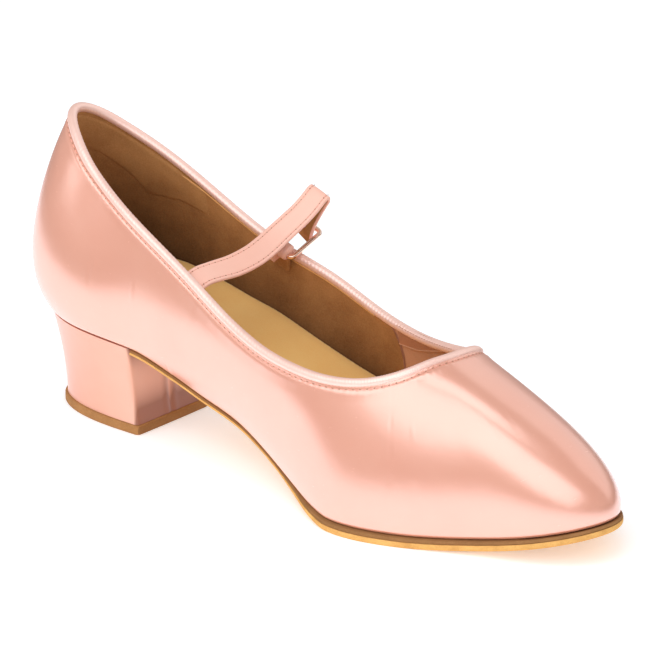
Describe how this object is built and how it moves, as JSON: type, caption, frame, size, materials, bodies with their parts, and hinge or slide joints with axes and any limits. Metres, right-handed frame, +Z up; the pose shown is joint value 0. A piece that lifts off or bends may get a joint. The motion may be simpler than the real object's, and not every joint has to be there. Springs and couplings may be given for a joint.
{
  "type": "ballroom dance shoe",
  "caption": "Low-heeled satin court shoe for ballroom dancing, left foot, with a rounded almond toe, thin suede sole, block heel, and a buckled strap over the instep.",
  "frame": {"origin": "centre of the heel's tread, on the floor", "axes": "+X from the heel towards the toe, +Y towards the outer side of the left foot, +Z up"},
  "size_m": [0.2368, 0.0786, 0.1036],
  "materials": {
    "satin": "pale peach-pink satin with a soft directional sheen, bonded to a thin backing and lined in brown suede cloth",
    "rose_gold": "polished rose-gold plated wire",
    "insole_cover": "smooth tan insole cover",
    "sole_suede": "brushed tan suede with a browner cut edge",
    "top_piece": "dull brown wearing piece under the heel"
  },
  "bodies": {
    "root": {"upper": "satin", "topline_binding": "satin", "strap": "satin", "buckle_tab": "satin", "buckle_frame": "rose_gold", "buckle_prong": "rose_gold", "insole": "insole_cover", "outsole": "sole_suede", "heel_block": "satin", "heel_top_piece": "top_piece"}
  },
  "joints": []
}
